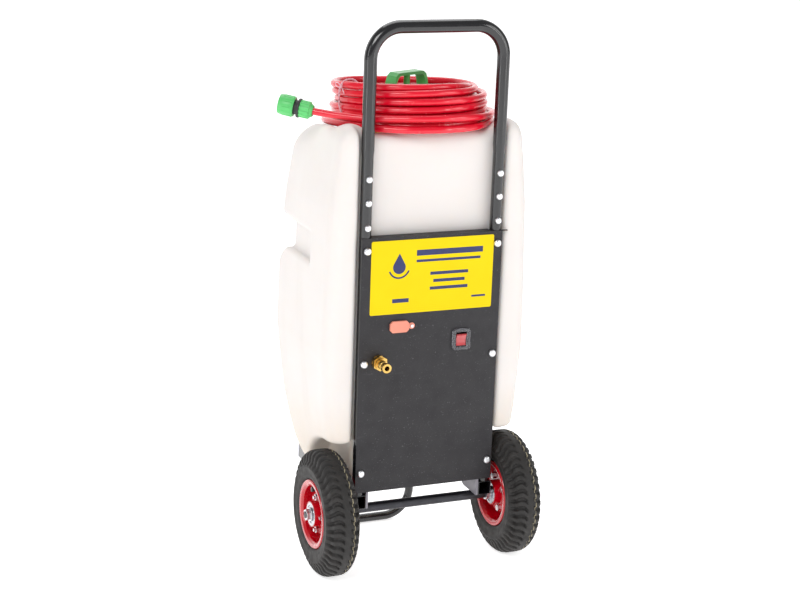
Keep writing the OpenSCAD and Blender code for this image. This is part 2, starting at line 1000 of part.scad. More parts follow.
module hose_tail() {
    color("#E0001F")
        swept_tube(tail_route, hose_d / 2, 12);
}

// The fitting on the hose's other end lies inside the coil, on the saddle.
module hose_inner_fitting() {
    length = 44;
    body_r = 11;
    aside = -80;
    color("#C9A35A")
        translate([coil_at.x + aside, coil_at.y - length, coil_at.z - 7.5])
            difference() {
                union() {
                    rod_y(7, length / 2, length);
                    rod_y(body_r, 4, length / 2);
                    rod_y(8, 0, 4);
                }
                rod_y(4, -1, length - 4);
            }
}

// The connector's frame: x runs outwards along it, from the hose's end.
module connector_frame() {
    translate(connector_at)
        rotate([0, 0, connector_yaw])
            rotate([0, -connector_rise, 0])
                children();
}

module along_x() {
    rotate([0, 90, 0])
        children();
}

module connector_nut() {
    grips = 12;
    color("#5CC86E")
        connector_frame()
            along_x()
                difference() {
                    rotate_extrude()
                        polygon([[0, 0], [9, 0], [12.5, 5], [14.6, 6], [14.6, 22], [0, 22]]);
                    translate([0, 0, 4])
                        cylinder(r = 9, h = 30);
                    for (i = [0:grips - 1])
                        rotate([0, 0, i * 360 / grips])
                            translate([16.6, 0, -1])
                                cylinder(r = 3.2, h = 30);
                }
}

// The barrel inside the nut, a collar, and the socket that the sleeve slides on.
module connector_body() {
    barrel = 22;
    collar = 4;
    socket = 28;
    color("#2C2C2E")
        connector_frame()
            along_x()
                difference() {
                    union() {
                        translate([0, 0, 4])
                            cylinder(r = 9, h = barrel - 2);
                        translate([0, 0, barrel])
                            cylinder(r = 16, h = collar);
                        translate([0, 0, barrel + collar])
                            cylinder(r = 12, h = socket);
                    }
                    translate([0, 0, barrel + 2 * collar])
                        cylinder(r = 8.3, h = socket + 2);
                    cylinder(r = 4, h = 80);
                }
}

module connector_sleeve() {
    grips = 12;
    color("#5CC86E")
        connector_frame()
            along_x()
                translate([0, 0, 32])
                    difference() {
                        rotate_extrude()
                            polygon([
                                [12.3, 0], [16, 0], [17.5, 3], [17.5, 18], [16, 26], [12.3, 26],
                            ]);
                        for (i = [0:grips - 1])
                            rotate([0, 0, i * 360 / grips])
                                translate([18.3, 0, -1])
                                    cylinder(r = 1.6, h = 20);
                    }
}

// A band round one place of the coil.
module coil_tie() {
    turn = 186;
    band = 2;
    air = 0.4;
    color("#F1B9C4")
        translate(coil_at)
            rotate([0, 0, turn])
                rotate([90, 0, 0])
                    linear_extrude(height = band)
                        difference() {
                            offset(delta = band)
                                polygon(coil_outline);
                            offset(delta = air)
                                polygon(coil_outline);
                        }
}

// ---------------------------------------------------------------- wheels

module tyre(side) {
    r = tyre_d / 2;
    half = tyre_w / 2;
    bead_r = 51;
    color("#2E2C2B")
        wheel_frame(side)
            rotate_extrude($fn = 96)
                polygon(concat(
                    [[bead_r, 21.5], [57.5, 22.3], [60.8, 24.2], [62.5, 27]],
                    arc([r - 28, half - 12], 12, 100, 40, 4),
                    arc([r - 17, 8], 17, 60, 0, 5),
                    arc([r - 17, -8], 17, 0, -60, 5),
                    arc([r - 28, -half + 12], 12, -40, -100, 4),
                    [[62.5, -27], [60.8, -24.2], [57.5, -22.3], [bead_r, -21.5],
                     [bead_r, -14], [60, -19]],
                    arc([r - 28, 0], 20, -90, 90, 12),
                    [[60, 19], [bead_r, 14]]));
}

module inner_tube(side) {
    r = tyre_d / 2;
    color("#1E1E1E")
        wheel_frame(side) {
            rotate_extrude($fn = 96)
                translate([r - 33, 0])
                    difference() {
                        circle(r = 18);
                        circle(r = 16.5);
                    }
            translate([-valve_r, 0, 0])
                valve_stem();
        }
}

// The stem stands in the rim's well and points outwards.
module valve_stem() {
    stem_r = 3.2;
    cylinder(r = stem_r, h = stem_len);
    rotate([0, -90, 0])
        cylinder(r = stem_r, h = 16);
}

module valve_cap(side) {
    color("#161616")
        wheel_frame(side)
            translate([-valve_r, 0, stem_len])
                difference() {
                    cylinder(r = 4.4, h = 12);
                    translate([0, 0, -1])
                        cylinder(r = 2.4, h = 8);
                }
}

// One pressed half of a rim: hub cup, disc, well, bead seat and rolled lip.
module rim_half(facing) {
    t = 2;
    lip_r = rim_d / 2;
    well_r = 37;
    valve_hole_r = 4;
    mirror([0, 0, facing < 0 ? 1 : 0])
        difference() {
            rotate_extrude($fn = 96)
                polygon(concat(
                    [[bearing_d / 2, disc_a - t], [well_r - t, disc_a - t], [well_r - t, 0],
                     [47, 0], [50.8, 9], [50.8, 22]],
                    arc([lip_r - 2.6, 25.4], 2.6, -95, 110, 6),
                    [[52.5, 27.2], [49, 23.5], [48.8, 10], [45.6, t], [well_r + 1, t],
                     [well_r, disc_a - 2], [well_r - 2, disc_a], [bearing_d / 2 + t, disc_a],
                     [bearing_d / 2 + t, hub_half], [bearing_d / 2, hub_half]]));
            for (i = [0:3])
                rotate([0, 0, i * 90])
                    translate([bolt_circle_r, 0, 0])
                        cylinder(r = 3.1, h = 30);
            translate([-valve_r, 0, -1])
                cylinder(r = valve_hole_r, h = 30);
            translate([-valve_r, 0, 0])
                rotate([0, -90, 0])
                    cylinder(r = valve_hole_r, h = 30);
        }
}

module rim_outer(side) {
    color("#C00018")
        wheel_frame(side)
            rim_half(1);
}

module rim_inner(side) {
    color("#C00018")
        wheel_frame(side)
            rim_half(-1);
}

module bearings(side) {
    color("#C4C6CB")
        wheel_frame(side)
            for (z = [hub_half - bearing_w, -hub_half])
                translate([0, 0, z])
                    difference() {
                        cylinder(d = bearing_d, h = bearing_w);
                        translate([0, 0, -1])
                            cylinder(r = axle_d / 2 + bearing_clear, h = bearing_w + 2);
                        for (face = [-1.5, bearing_w - 1])
                            translate([0, 0, face])
                                difference() {
                                    cylinder(r = 16, h = 2.5);
                                    translate([0, 0, -1])
                                        cylinder(r = 12, h = 5);
                                }
                    }
}

module rim_bolts(side) {
    across_corners = 11.5;
    head = 4.5;
    nut = 5.5;
    color("#C9CBD0")
        wheel_frame(side)
            for (i = [0:3])
                rotate([0, 0, i * 90])
                    translate([bolt_circle_r, 0, 0]) {
                        translate([0, 0, -disc_a - 5])
                            cylinder(r = 3, h = 2 * disc_a + 5 + 9);
                        translate([0, 0, disc_a])
                            cylinder(d = across_corners, h = nut, $fn = 6);
                        translate([0, 0, -disc_a - head])
                            cylinder(d = across_corners, h = head, $fn = 6);
                    }
}

upright(-1);  // upright_left
upright(1);  // upright_right
rail(-1);  // rail_left
rail(1);  // rail_right
front_crossbar();
axle_brackets();
axle();
axle_spacers();
axle_washers();
axle_nuts();
front_foot();
rail_end_caps();
handle_tube();
handle_bolts();
handle_weld_nuts();
cover_panel();
panel_bolts();
label_plate();
charge_socket();
charge_cap();
cap_screw();
switch_body();
switch_rocker();
switch_hood();
outlet_fitting();
outlet_locknut();
tank_shell();
tank_lid();
lid_seal();
lid_handle();
tank_outlet();
suction_hose();
pump_head();
pump_motor();
pressure_hose();
battery();
battery_tray();
wiring_loom();
hose_coil();
hose_tail();
hose_inner_fitting();
connector_body();
connector_sleeve();
connector_nut();
coil_tie();
tyre(-1);  // tyre_left
inner_tube(-1);  // inner_tube_left
valve_cap(-1);  // valve_cap_left
rim_outer(-1);  // rim_outer_left
rim_inner(-1);  // rim_inner_left
bearings(-1);  // bearings_left
rim_bolts(-1);  // rim_bolts_left
tyre(1);  // tyre_right
inner_tube(1);  // inner_tube_right
valve_cap(1);  // valve_cap_right
rim_outer(1);  // rim_outer_right
rim_inner(1);  // rim_inner_right
bearings(1);  // bearings_right
rim_bolts(1);  // rim_bolts_right
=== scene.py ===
"""The look of the water trolley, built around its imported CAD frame.

Lengths are millimetres in the cart's own axes. Points handed to Blender, and the studio's
places and sizes, are metres.
The tank, the hose and its tie, the tyres and the label's marks are made here. The other pieces
are the CAD's, with materials and softened edges.
"""

import json
import math
import random

import bpy
import numpy as np
from mathutils import Matrix, Vector


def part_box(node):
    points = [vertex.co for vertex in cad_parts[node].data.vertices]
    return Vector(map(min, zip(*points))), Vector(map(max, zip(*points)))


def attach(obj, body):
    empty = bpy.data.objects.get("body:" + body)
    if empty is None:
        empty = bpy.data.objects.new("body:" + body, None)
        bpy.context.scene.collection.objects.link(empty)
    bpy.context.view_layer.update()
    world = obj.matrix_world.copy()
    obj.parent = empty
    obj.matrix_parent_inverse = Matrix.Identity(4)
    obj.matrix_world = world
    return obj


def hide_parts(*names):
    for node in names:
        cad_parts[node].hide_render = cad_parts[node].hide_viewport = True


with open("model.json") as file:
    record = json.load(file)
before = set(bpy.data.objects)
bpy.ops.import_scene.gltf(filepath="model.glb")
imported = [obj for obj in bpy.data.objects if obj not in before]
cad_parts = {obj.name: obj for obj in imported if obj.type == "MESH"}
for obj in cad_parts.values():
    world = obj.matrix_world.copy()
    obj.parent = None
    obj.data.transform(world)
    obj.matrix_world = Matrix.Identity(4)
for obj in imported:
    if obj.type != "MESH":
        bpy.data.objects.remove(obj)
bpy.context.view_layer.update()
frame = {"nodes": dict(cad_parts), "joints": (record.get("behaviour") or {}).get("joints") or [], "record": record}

MM = 0.001
TAU = 2 * math.pi
joints = {joint["name"]: joint for joint in frame["joints"]}

# The frame leans about the axle: its height axis is the lid's axis.
height_axis = Vector(joints["lid_turn"]["axis"])
LEAN = math.atan2(-height_axis.y, height_axis.z)
AXLE = Vector(joints["wheel_left_spin"]["pos_m"]) / MM
AXLE.x = 0.0
LEANING = Matrix.Translation(AXLE * MM) @ Matrix.Rotation(LEAN, 4, "X")


def leaning(x, v, w):
    """A point given across, forwards and up along the leaning frame, in metres."""
    return LEANING @ (Vector((x, v, w)) * MM)


# ---------------------------------------------------------------- camera

CAMERA_AZIMUTH = math.radians(-22.6)
CAMERA_ELEVATION = math.radians(10.7)
CAMERA_DISTANCE = 3181.0
CAMERA_TARGET = Vector((-22.0, -50.0, 468.0))
CAMERA_LENS = 82.7
CAMERA_SENSOR = 36.0


def make_camera():
    back = Vector((
        math.sin(CAMERA_AZIMUTH) * math.cos(CAMERA_ELEVATION),
        -math.cos(CAMERA_AZIMUTH) * math.cos(CAMERA_ELEVATION),
        math.sin(CAMERA_ELEVATION),
    ))
    data = bpy.data.cameras.new("camera")
    data.lens = CAMERA_LENS
    data.sensor_width = CAMERA_SENSOR
    camera = bpy.data.objects.new("camera", data)
    bpy.context.collection.objects.link(camera)
    camera.location = (CAMERA_TARGET + back * CAMERA_DISTANCE) * MM
    camera.rotation_mode = "QUATERNION"
    camera.rotation_quaternion = (-back).to_track_quat("-Z", "Y")
    bpy.context.scene.camera = camera


make_camera()


# ---------------------------------------------------------------- mesh helpers

def link(obj):
    bpy.context.collection.objects.link(obj)
    return obj


def mesh_object(name, points, faces, smooth=True):
    """A mesh of points in metres."""
    mesh = bpy.data.meshes.new(name)
    mesh.from_pydata([tuple(p) for p in points], [], [tuple(f) for f in faces])
    mesh.validate()
    mesh.update()
    if smooth:
        mesh.shade_smooth()
    return link(bpy.data.objects.new(name, mesh))


def smooth_step(low, high, x):
    t = np.clip((x - low) / (high - low), 0.0, 1.0)
    return t * t * (3 - 2 * t)


def tube_mesh(name, centre_line, radius, sides=10, closed=False):
    """A round tube along a list of points, all in metres."""
    line = [Vector(p) for p in centre_line]
    count = len(line)
    points = []
    across = None
    for i in range(count):
        before = line[i - 1] if closed or i > 0 else line[i]
        after = line[(i + 1) % count] if closed or i < count - 1 else line[i]
        forward = (after - before).normalized()
        if across is None:
            across = forward.orthogonal().normalized()
        across = (across - forward * across.dot(forward)).normalized()
        up = forward.cross(across)
        for k in range(sides):
            turn = TAU * k / sides
            points.append(line[i] + radius * (math.cos(turn) * across + math.sin(turn) * up))
    faces = []
    for i in range(count if closed else count - 1):
        after = (i + 1) % count
        for k in range(sides):
            n = (k + 1) % sides
            faces.append((i * sides + k, i * sides + n, after * sides + n, after * sides + k))
    if not closed:
        faces.append(tuple(range(sides - 1, -1, -1)))
        faces.append(tuple((count - 1) * sides + k for k in range(sides)))
    return mesh_object(name, points, faces)


# ---------------------------------------------------------------- delivery hose

HOSE_D = 12.0
COIL_CENTRE = Vector((6.0, -24.0, 0.0))
TAIL_ROUTE = [
    (-69, -143, 790), (-86, -133, 790), (-103, -122, 790), (-120, -111, 791),
    (-137, -101, 793), (-153, -91, 795), (-170, -80, 798), (-186, -70, 801),
]
# One row per turn, from the inner end: radius, height, and how far its middle is off the coil's.
COIL_TURNS = [
    (112, 773, 0, 0),
    (112, 785, 0, 0),
    (114, 797, 1, 0),
    (112, 810, -1, 1),
    (113, 822, 0, 0),
    (111, 841, -19, 0),
    (124, 829, -2, 0),
    (126, 816, 3, -3),
    (129, 803, -2, 0),
    (128, 790, 0, 2),
    (127, 777, 2, -2),
    (144, 771, -1, 0),
    (142, 789, 0, 0),
]
POINTS_PER_TURN = 20
COIL_START_ANGLE = math.pi       # where the hose leaves its inner fitting
START_INSIDE = 4.0               # how far the hose starts inside the fitting
ARRIVING_TURNS = 0.55            # turns over which the hose comes up from the fitting
LEAVING_TURNS = 0.45             # turns over which it runs into the tail
SADDLE_RISE = 9.0                # how far the lowest turns ride up the saddle's sides
SADDLE_BAND = (780.0, 812.0)     # heights between which that rise fades away


def coil_point(radius, angle, height, dx=0.0, dy=0.0):
    x = COIL_CENTRE.x + dx + radius * math.cos(angle)
    y = COIL_CENTRE.y + dy + radius * math.sin(angle)
    return Vector((x, y, height))


def coil_row(turn):
    """The coil's row at a place between two turns."""
    lower = int(turn)
    share = float(smooth_step(0.15, 0.85, turn - lower))
    return [a + (b - a) * share for a, b in zip(COIL_TURNS[lower], COIL_TURNS[lower + 1])]


def hose_route():
    """The middle of the hose: out of its inner fitting, round the turns, then down the tail."""
    low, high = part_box("hose_inner_fitting")
    start = Vector(((low.x + high.x) / 2, high.y, (low.z + high.z) / 2)) / MM
    start_r = (start - COIL_CENTRE).xy.length
    tail_start = Vector(TAIL_ROUTE[0]) - COIL_CENTRE
    tail_angle = math.atan2(tail_start.y, tail_start.x)
    # The hose runs clockwise seen from above, and leaves its last turn where the tail starts.
    part_turn = ((COIL_START_ANGLE - tail_angle) / TAU) % 1.0
    turns = len(COIL_TURNS) - 2 + part_turn
    chance = random.Random(5)
    waves = [(chance.uniform(0.4, 1.4), chance.uniform(0, TAU)) for _ in COIL_TURNS]
    route = []
    steps = int(turns * POINTS_PER_TURN)
    for step in range(steps):
        turn = step * turns / steps
        radius, height, dx, dy = coil_row(turn)
        angle = COIL_START_ANGLE - turn * TAU
        size, phase = waves[int(turn)]
        radius += size * math.sin(2 * angle + phase)
        riding = SADDLE_RISE * float(1 - smooth_step(*SADDLE_BAND, height))
        height += riding * abs(math.cos(angle)) ** 3 + 0.6 * size * math.sin(3 * angle + phase)
        arriving = float(smooth_step(0.0, ARRIVING_TURNS, turn))
        radius += (start_r - radius) * (1 - arriving)
        height += (start.z - height) * (1 - arriving)
        leaving = float(smooth_step(turns - LEAVING_TURNS, turns, turn))
        radius += (tail_start.xy.length - radius) * leaving
        height += (TAIL_ROUTE[0][2] - height) * leaving
        aside = arriving * (1 - leaving)
        route.append(coil_point(radius, angle, height, dx * aside, dy * aside))
    route[0] = start - Vector((0, START_INSIDE, 0))
    return route + [Vector(p) for p in TAIL_ROUTE]


def make_hose():
    route = hose_route()
    curve = bpy.data.curves.new("hose", "CURVE")
    curve.dimensions = "3D"
    # A curve's box grows by its points' radius, so the radius is held there and the bevel is 1.
    curve.bevel_depth = 1.0
    curve.bevel_resolution = 5
    curve.use_fill_caps = True
    curve.resolution_u = 6
    spline = curve.splines.new("BEZIER")
    spline.bezier_points.add(len(route) - 1)
    for point, place in zip(spline.bezier_points, route):
        point.co = place * MM
        point.radius = HOSE_D / 2 * MM
        point.handle_left_type = "AUTO"
        point.handle_right_type = "AUTO"
    hose = link(bpy.data.objects.new("hose", curve))
    length = sum((b - a).length for a, b in zip(route, route[1:])) * MM
    return hose, length


hose, hose_length = make_hose()
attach(hose, "chassis")
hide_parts("hose_coil", "hose_tail")


# ---------------------------------------------------------------- tie round the coil

TIE_ANGLE = math.radians(190)
TIE_MIDDLE = (119.0, 818.0)      # radius and height of the bundle's middle
TIE_HALF = (21.0, 32.0)          # half of the loop, across and up
TIE_STRAND_R = 1.0
TIE_TWISTS = 14
TIE_STEPS = 160
TIE_SQUARENESS = 0.82            # below 1, the loop is squarer than an ellipse
BOW_R = 0.9
BOW_REACH = 11.0
BOW_STEPS = 40


def tie_point(across, up, along=0.0):
    """A point in the bundle's section at the tie, in metres."""
    outwards = Vector((math.cos(TIE_ANGLE), math.sin(TIE_ANGLE), 0))
    sideways = Vector((-outwards.y, outwards.x, 0))
    middle = coil_point(TIE_MIDDLE[0], TIE_ANGLE, TIE_MIDDLE[1])
    return (middle + outwards * across + Vector((0, 0, up)) + sideways * along) * MM


def squared(value):
    return math.copysign(abs(value) ** TIE_SQUARENESS, value)


def tie_strand(number):
    """One of the two strands that are twisted round each other, once round the bundle."""
    line = []
    for step in range(TIE_STEPS):
        turn = TAU * step / TIE_STEPS
        twist = TIE_TWISTS * turn + math.pi * number
        grow = TIE_STRAND_R * 0.95 * math.cos(twist)
        line.append(tie_point(
            squared(math.cos(turn)) * (TIE_HALF[0] + grow),
            squared(math.sin(turn)) * (TIE_HALF[1] + grow),
            TIE_STRAND_R * 0.95 * math.sin(twist),
        ))
    return tube_mesh(f"tie_strand_{number}", line, TIE_STRAND_R * MM, 8, closed=True)


def make_tie():
    pieces = [tie_strand(number) for number in range(2)]
    knot = (TIE_HALF[0] * 0.72, TIE_HALF[1] * 0.66)
    for side in (-1, 1):
        loop = []
        for step in range(BOW_STEPS):
            turn = TAU * step / BOW_STEPS
            reach = BOW_REACH * (1 - math.cos(turn)) / 2
            loop.append(tie_point(
                knot[0] + 2.5 + 0.35 * reach,
                knot[1] + side * 3.4 * math.sin(turn) + 0.4 * reach,
                side * reach,
            ))
        pieces.append(tube_mesh(f"tie_bow_{side + 1}", loop, BOW_R * MM, 8, closed=True))
    end = [tie_point(knot[0] + 1 + 0.5 * k, knot[1] - 1.6 * k, 2.0 * k) for k in range(8)]
    pieces.append(tube_mesh("tie_end", end, BOW_R * MM, 8))
    return pieces


tie_pieces = make_tie()
for piece in tie_pieces:
    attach(piece, "chassis")
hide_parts("coil_tie")


# ---------------------------------------------------------------- tank

CELL = 4.0


def rounded_and(a, b, k):
    """Where both shapes are, with the edge between them rounded."""
    return np.maximum(a, b) + (np.maximum(k - np.abs(a - b), 0) / k) ** 2 * k / 4


def cut(shape, hollow, k):
    return rounded_and(shape, -hollow, k)


# The tank's outline along the frame: half its width and its front face by height, and its top
# by depth.
HALF_WIDTHS = [(34, 156), (84, 168), (122, 173), (170, 179), (280, 187), (350, 186),
               (530, 180), (600, 173), (640, 168), (680, 164)]
FRONTS = [(34, 168), (84, 214), (114, 230), (154, 245), (217, 257), (284, 265), (400, 265),
          (474, 258), (541, 246), (590, 238), (616, 234), (645, 230), (680, 224)]
TOPS = [(-20, 684), (60, 684), (84, 679), (132, 663), (186, 645), (221, 632), (250, 618)]
TANK_BACK = -20.0
TANK_LOW = 34.0
RECESS = (132.0, -5.0)           # for the uprights: half width, and how deep it reaches
BAY = (108.0, 75.0, 480.0)       # for the pump and battery: half width, depth and top
ARCH_R = 128.0                   # wheel arches, round the axle
ARCH_X = 128.0
RIM_LOW = 659.0                  # the near rim that the hose lies on, and its rise at the sides
RIM_RISE = 26.0
RIM_BAND = (95.0, 150.0)
DISH_R = 245.0                   # the dish round the lid
DISH_LOW = 614.0
DISH_BAND = (8.0, 52.0)          # depths between which the rim falls into the dish
GRIP_BAND = (427.0, 478.0)       # heights between which the side grips lie
NOTCH_DEEP = 13.0
NOTCH_V = 78.0
GRIP_V = 190.0
GRIP_X = 124.0
LID_V = 112.0
NECK_R = 46.0
NECK_BORE_R = 41.0
NECK_TOP = 650.0
NECK_FROM = 560.0                # inside the tank, below its top


def along_rows(rows, at):
    return np.interp(at, [row[0] for row in rows], [row[1] for row in rows])


def inside_all(*shapes):
    """Where every one of the shapes is, with sharp edges."""
    return np.maximum.reduce(np.broadcast_arrays(*shapes))


def tank_block(side, v, w):
    """The tank's outer block with its recess, bay and wheel arches."""
    half = along_rows(HALF_WIDTHS, w)
    shape = rounded_and(side - half, v - along_rows(FRONTS, w), 53)
    shape = rounded_and(shape, TANK_BACK - v, 25)
    shape = rounded_and(shape, w - along_rows(TOPS, v), 42)
    shape = rounded_and(shape, TANK_LOW - w, 34)
    shape = cut(shape, inside_all(side - RECESS[0], v - RECESS[1]), 12)
    shape = cut(shape, inside_all(side - BAY[0], v - BAY[1], w - BAY[2]), 8)
    return cut(shape, inside_all(np.hypot(v, w) - ARCH_R, ARCH_X - side), 10)


def saddle(x, v, w):
    """The hose's seat: flat along the tank's near rim, and a deeper dish round the lid."""
    rim = RIM_LOW + RIM_RISE * smooth_step(*RIM_BAND, np.abs(x))
    dish = DISH_LOW + DISH_R - np.sqrt(np.maximum(DISH_R ** 2 - x ** 2, 1))
    return 0.92 * (rim + (dish - rim) * smooth_step(*DISH_BAND, v) - w)


def tank_field(x, v, w):
    """Below zero inside the tank: across, forwards and up along the leaning frame."""
    side = np.abs(x)
    shape = cut(tank_block(side, v, w), saddle(x, v, w), 20)
    low, high = GRIP_BAND
    half = along_rows(HALF_WIDTHS, w)
    notch = inside_all(NOTCH_V - v, half - NOTCH_DEEP - side, w - high, low - w)
    shape = cut(shape, notch, 8)
    # The front grip's floor slopes down forwards, so that a hand can hook under it.
    floor_line = (low + 8 - 0.78 * (v - GRIP_V) - w) / 1.27
    grip = inside_all(GRIP_V - v, GRIP_X - side, w - high, floor_line)
    shape = cut(shape, grip, 8)
    ring = np.hypot(x, v - LID_V)
    neck = inside_all(ring - NECK_R, w - NECK_TOP, NECK_FROM - w)
    shape = -rounded_and(-shape, -neck, 6)
    return cut(shape, inside_all(ring - NECK_BORE_R, NECK_FROM - w), 3)


def surface_net(field, low, high, cell):
    """The zero surface of a field as points and four-sided faces, one point to a cell."""
    axes = [np.arange(a, b + cell, cell) for a, b in zip(low, high)]
    values = field(*np.meshgrid(*axes, indexing="ij"))
    inside = values < 0
    total = np.zeros(tuple(n - 1 for n in values.shape) + (3,))
    count = np.zeros(tuple(n - 1 for n in values.shape))
    corners = [(i, j, k) for i in (0, 1) for j in (0, 1) for k in (0, 1)]
    shape = count.shape
    for a in corners:
        for axis in range(3):
            if a[axis]:
                continue
            b = tuple(a[n] + (n == axis) for n in range(3))
            va = values[a[0]:a[0] + shape[0], a[1]:a[1] + shape[1], a[2]:a[2] + shape[2]]
            vb = values[b[0]:b[0] + shape[0], b[1]:b[1] + shape[1], b[2]:b[2] + shape[2]]
            crossing = (va < 0) != (vb < 0)
            share = np.where(crossing, va / np.where(va == vb, 1, va - vb), 0)
            count += crossing
            for n in range(3):
                total[..., n] += crossing * (a[n] + (share if n == axis else 0))
    used = count > 0
    number = -np.ones(shape, int)
    number[used] = np.arange(used.sum())
    cells = np.argwhere(used)
    points = np.array(low) + (cells + total[used] / count[used][:, None]) * cell
    faces = []
    for axis in range(3):
        other = [n for n in range(3) if n != axis]
        first = np.moveaxis(inside, axis, 0)[:-1]
        second = np.moveaxis(inside, axis, 0)[1:]
        for low_inside in (True, False):
            filled, empty = (first, second) if low_inside else (second, first)
            edges = np.argwhere(filled & ~empty)
            full = np.zeros_like(edges)
            full[:, axis] = edges[:, 0]
            full[:, other[0]] = edges[:, 1]
            full[:, other[1]] = edges[:, 2]
            quad = []
            for da, db in ((-1, -1), (0, -1), (0, 0), (-1, 0)):
                at = full.copy()
                at[:, other[0]] += da
                at[:, other[1]] += db
                quad.append(number[at[:, 0], at[:, 1], at[:, 2]])
            flip = low_inside == (axis == 1)
            quad = np.stack(quad if not flip else quad[::-1], axis=1)
            faces.append(quad)
    return points, np.concatenate(faces)


def settle_on(field, points, rounds=4):
    """Moves points onto a field's zero surface."""
    step = 0.5
    for _ in range(rounds):
        x, v, w = points.T
        value = field(x, v, w)
        slope = np.stack([
            field(x + step, v, w) - field(x - step, v, w),
            field(x, v + step, w) - field(x, v - step, w),
            field(x, v, w + step) - field(x, v, w - step),
        ], axis=1) / (2 * step)
        size = np.maximum((slope ** 2).sum(axis=1, keepdims=True), 0.25)
        points = points - np.clip(value[:, None] * slope / size, -CELL, CELL)
    return points


def even_out(points, faces, rounds):
    """Moves each point part of the way to the middle of its neighbours."""
    starts = faces.ravel()
    ends = np.roll(faces, -1, axis=1).ravel()
    for _ in range(rounds):
        total = np.zeros_like(points)
        count = np.zeros(len(points))
        np.add.at(total, starts, points[ends])
        np.add.at(total, ends, points[starts])
        np.add.at(count, starts, 1)
        np.add.at(count, ends, 1)
        points = points + 0.5 * (total / count[:, None] - points)
    return points


def make_tank():
    points, faces = surface_net(tank_field, (-200, -40, 20), (200, 284, 700), CELL)
    for _ in range(2):
        points = settle_on(tank_field, even_out(points, faces, 2))
    placed = [leaning(*p) for p in points]
    return mesh_object("tank", placed, faces.tolist())


tank = make_tank()
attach(tank, "chassis")
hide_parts("tank_shell")


# ---------------------------------------------------------------- tyres

TYRE_R = 110.0
TYRE_HALF = 30.0
BEAD_R = 51.0
BLOCKS = 44
STEPS_PER_BLOCK = 12
GROOVE_DEEP = 5.0
GROOVE_BAND = (5.0, 26.0)        # how far from the tyre's middle the grooves lie
TREAD_R = 84.0                   # the grooves fade away towards this radius
WALL_RINGS = ((68.0, 0.9), (82.0, 0.6))     # radius and height of the rings on the wall
TYRE_POINT_GAP = 2.2


def arc(centre, radius, start, end, steps):
    turns = np.radians(np.linspace(start, end, steps + 1))
    return [(centre[0] + radius * math.cos(t), centre[1] + radius * math.sin(t)) for t in turns]


def tyre_section():
    """Radius and place across of the tyre's outline, outside from bead to bead, then inside."""
    wall = [(BEAD_R, 21.5), (54.0, 21.8), (57.5, 22.3), (60.8, 24.2), (62.5, 27.0)]
    shoulder = arc((TYRE_R - 28, TYRE_HALF - 12), 12, 100, 40, 10)
    crown = arc((TYRE_R - 17, 8), 17, 60, 0, 16)
    middle = [(TYRE_R, 8 - 16 * k / 10) for k in range(1, 10)]
    outside = wall + shoulder + crown
    mirrored = [(r, -a) for r, a in reversed(outside)]
    inside = [(BEAD_R, -14), (60, -19)] + arc((TYRE_R - 28, 0), 20, -90, 90, 14)
    return outside + middle + mirrored + inside + [(60, 19), (BEAD_R, 14)]


def groove_depth(step, across, radius):
    """How deep the tread is cut at a place: curved grooves across, and none along the middle."""
    low, high = GROOVE_BAND
    along = (abs(across) - low) / (high - low)
    if radius < TREAD_R or along < 0:
        return 0.0
    side = 0.5 if across < 0 else 0.0
    curve = 0.42 * math.sin(math.pi * min(along, 1.0)) + 0.10 * along
    phase = (step / STEPS_PER_BLOCK + side + math.copysign(curve, across)) % 1.0
    edge = abs(phase - 0.5) * 2
    across_groove = float(smooth_step(0.50, 0.66, edge))
    inner_end = float(smooth_step(0.0, 0.08, along))
    outer_end = float(smooth_step(TREAD_R - 1, TREAD_R + 6, radius))
    return GROOVE_DEEP * across_groove * inner_end * outer_end


def sidewall_rise(across, radius):
    """Two raised rings on the wall."""
    if abs(across) < 22:
        return 0.0
    rise = 0.0
    for ring_r, tall in WALL_RINGS:
        rise += tall * math.exp(-((radius - ring_r) / 1.6) ** 2)
    return math.copysign(rise, across)


def filled_in(outline, gap):
    """The outline with points added, so that no two are much further apart than the gap."""
    dense = []
    for (r0, a0), (r1, a1) in zip(outline, outline[1:] + outline[:1]):
        pieces = max(1, int(math.hypot(r1 - r0, a1 - a0) / gap))
        for k in range(pieces):
            dense.append((r0 + (r1 - r0) * k / pieces, a0 + (a1 - a0) * k / pieces))
    return dense


def make_tyre(side, centre):
    dense = filled_in(tyre_section(), TYRE_POINT_GAP)
    steps = BLOCKS * STEPS_PER_BLOCK
    points = []
    for step in range(steps):
        turn = TAU * step / steps
        for radius, across in dense:
            outer = radius > 62 and math.hypot(radius - (TYRE_R - 28), across) > 21.5
            deep = groove_depth(step, across, radius) if outer else 0.0
            rise = sidewall_rise(across, radius) if outer else 0.0
            inwards = Vector((radius - (TYRE_R - 26), across * 0.7)).normalized() * deep
            r = radius - inwards.x
            a = across - inwards.y + rise
            points.append(Vector((a, r * math.sin(turn), r * math.cos(turn))) * MM + centre)
    count = len(dense)
    faces = []
    for step in range(steps):
        after = (step + 1) % steps
        for k in range(count):
            n = (k + 1) % count
            faces.append((step * count + k, step * count + n, after * count + n, after * count + k))
    tyre = mesh_object(f"tread_{side}", points, faces)
    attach(tyre, f"wheel_{side}")
    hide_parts(f"tyre_{side}")
    return tyre


tyres = {
    side: make_tyre(side, Vector(joints[f"wheel_{side}_spin"]["pos_m"]))
    for side in ("left", "right")
}


# ---------------------------------------------------------------- marks on the label

LABEL_MIDDLE = (0.4, 419.2)      # across and up along the frame
LABEL_FACE_V = -27.8
MARK_THICK = 0.08
MARK_BURIED = 0.05


def bar(x, w, width, height):
    """The corners of a bar on the label, from its middle."""
    return [(x - width / 2, w - height / 2), (x + width / 2, w - height / 2),
            (x + width / 2, w + height / 2), (x - width / 2, w + height / 2)]


